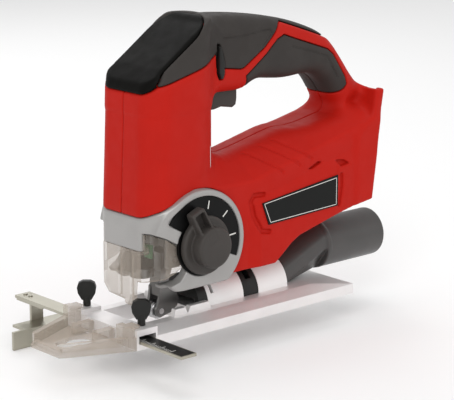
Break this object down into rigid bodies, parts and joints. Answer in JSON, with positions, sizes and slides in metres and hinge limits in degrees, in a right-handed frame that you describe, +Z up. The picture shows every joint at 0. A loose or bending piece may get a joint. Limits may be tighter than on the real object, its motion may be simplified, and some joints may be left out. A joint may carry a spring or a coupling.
{
  "type": "cordless jigsaw",
  "caption": "Cordless jigsaw with a D-shaped handle, orbital knob, tilting sole plate, clear guards, parallel guide and dust spout; the battery pack is not fitted.",
  "frame": {"origin": "middle of the sole plate's underside", "axes": "-X towards the blade end, +X towards the battery end, -Y the side with the orbital knob, +Z up"},
  "size_m": [0.294, 0.18, 0.23],
  "materials": {
    "red_plastic": "fine-textured moulded ABS, low sheen",
    "soft_grip": "soft overmould, matt, fine grain",
    "cap_plastic": "black moulded plastic, satin",
    "cast_silver": "silver lacquer on a casting, satin",
    "dial_black": "gloss black with pale ticks",
    "label_black": "gloss black blank plate with a thin line border",
    "knob_plastic": "dark grey moulded plastic, fine texture",
    "black_plastic": "black moulded plastic",
    "spout_plastic": "dark grey moulded plastic, satin",
    "white_plastic": "white moulded plastic, printed bevel marks",
    "clear_plastic": "clear polycarbonate",
    "sole_metal": "brushed die-cast aluminium",
    "guide_steel": "zinc-plated sheet steel",
    "screw_steel": "bright screw steel",
    "bright_steel": "ground shaft steel",
    "gear_steel": "machined and oiled gear steel",
    "motor_steel": "zinc-plated drawn steel",
    "magnet_ferrite": "pressed ferrite",
    "copper_wire": "enamelled copper",
    "bronze_bush": "sintered bronze",
    "board_green": "circuit board with solder mask",
    "carrier_alloy": "sand-textured die casting",
    "fan_plastic": "natural nylon",
    "wire_red": "PVC wire"
  },
  "bodies": {
    "root": {"housing_left": "red_plastic", "housing_right": "red_plastic", "grip_left": "soft_grip", "grip_right": "soft_grip", "nose_cap": "cap_plastic", "gear_cover": "cast_silver", "dial_plate": "dial_black", "label_left": "label_black", "label_right": "label_black", "housing_screws": "screw_steel", "led_lens": "clear_plastic", "led_board": "board_green", "gear_carrier": "carrier_alloy", "gear_pin": "bright_steel", "plunger_bushes": "bronze_bush", "front_bearing": "bright_steel", "rear_bearing": "bright_steel", "motor_can": "motor_steel", "magnets": "magnet_ferrite", "end_bell": "black_plastic", "brushes": "magnet_ferrite", "switch_body": "black_plastic", "control_board": "board_green", "wiring": "wire_red", "terminal_block": "black_plastic", "battery_contacts": "copper_wire", "tilt_saddle": "black_plastic", "clamp_screw": "screw_steel", "roller_pivot_pin": "bright_steel"},
    "gear_train": {"drive_gear": "gear_steel", "gear_bearing": "bronze_bush", "eccentric_pin": "bright_steel", "counterweight": "gear_steel"},
    "armature": {"armature_shaft": "bright_steel", "armature_core": "copper_wire", "commutator": "copper_wire", "cooling_fan": "fan_plastic", "pinion": "gear_steel"},
    "plunger_set": {"plunger": "bright_steel", "yoke": "gear_steel", "blade_clamp": "gear_steel"},
    "clamp_lever": {"clamp_lever": "black_plastic"},
    "roller_arm": {"roller_arm": "gear_steel", "roller_axle": "bright_steel"},
    "guide_roller": {"guide_roller": "screw_steel"},
    "orbital_knob": {"orbital_knob": "knob_plastic"},
    "trigger": {"trigger": "knob_plastic"},
    "lock_button": {"lock_button": "black_plastic"},
    "chip_guard": {"chip_guard": "clear_plastic"},
    "sole": {"sole_plate": "sole_metal", "bevel_drum": "white_plastic", "drum_liner": "black_plastic"},
    "guide": {"guide_bar": "guide_steel", "guide_fence": "guide_steel"},
    "wing_near": {"wing_screw_near": "black_plastic"},
    "wing_far": {"wing_screw_far": "black_plastic"},
    "sight_guide": {"sight_guide": "clear_plastic"},
    "dust_spout": {"dust_spout": "spout_plastic"}
  },
  "joints": [
    {"name": "gear_spin", "type": "hinge", "parent": "root", "child": "gear_train", "pos_m": [-0.045, 0, 0.1125], "axis": [1, 0, 0], "continuous": true},
    {"name": "armature_spin", "type": "hinge", "parent": "root", "child": "armature", "pos_m": [0.02, 0, 0.0828], "axis": [1, 0, 0], "continuous": true},
    {"name": "plunger_stroke", "type": "slide", "parent": "root", "child": "plunger_set", "axis": [0, 0, 1], "range_m": [-0.013, 0.013]},
    {"name": "clamp_lever_turn", "type": "hinge", "parent": "plunger_set", "child": "clamp_lever", "pos_m": [-0.064, 0, 0.047], "axis": [0, 0, 1], "range_deg": [0, 60], "stiffness_Nm_per_rad": 0.02, "springref_deg": -8.59},
    {"name": "arm_swing", "type": "hinge", "parent": "root", "child": "roller_arm", "pos_m": [-0.047, 0, 0.047], "axis": [0, 1, 0], "range_deg": [0, 4]},
    {"name": "roller_spin", "type": "hinge", "parent": "roller_arm", "child": "guide_roller", "pos_m": [-0.0528, 0, 0.0105], "axis": [0, 1, 0], "continuous": true},
    {"name": "orbital_turn", "type": "hinge", "parent": "root", "child": "orbital_knob", "pos_m": [-0.041, -0.04, 0.0605], "axis": [0, 1, 0], "range_deg": [0, 100]},
    {"name": "trigger_press", "type": "slide", "parent": "root", "child": "trigger", "axis": [0, 0, 1], "range_m": [0, 0.006], "stiffness_N_per_m": 600, "springref_m": -0.003},
    {"name": "lock_push", "type": "slide", "parent": "root", "child": "lock_button", "axis": [0, 1, 0], "range_m": [-0.003, 0.003], "stiffness_N_per_m": 500},
    {"name": "guard_pull", "type": "slide", "parent": "root", "child": "chip_guard", "axis": [-1, 0, 0], "range_m": [0, 0.03]},
    {"name": "sole_tilt", "type": "hinge", "parent": "root", "child": "sole", "pos_m": [0, 0, 0.011], "axis": [1, 0, 0], "range_deg": [-45, 45]},
    {"name": "guide_slide", "type": "slide", "parent": "sole", "child": "guide", "axis": [0, 1, 0], "range_m": [-0.034, 0.038]},
    {"name": "wing_near_turn", "type": "hinge", "parent": "sole", "child": "wing_near", "pos_m": [-0.088, -0.029, 0.02], "axis": [0, 0, 1], "range_deg": [-180, 180]},
    {"name": "wing_far_turn", "type": "hinge", "parent": "sole", "child": "wing_far", "pos_m": [-0.088, 0.029, 0.02], "axis": [0, 0, 1], "range_deg": [-180, 180]},
    {"name": "sight_guide_pull", "type": "slide", "parent": "sole", "child": "sight_guide", "axis": [-1, 0, 0], "range_m": [0, 0.03]},
    {"name": "spout_pull", "type": "slide", "parent": "sole", "child": "dust_spout", "axis": [1, 0, 0], "range_m": [0, 0.03]}
  ],
  "couplings": [
    {"joint": "armature_spin", "follows": "gear_spin", "ratio": -4.5}
  ]
}
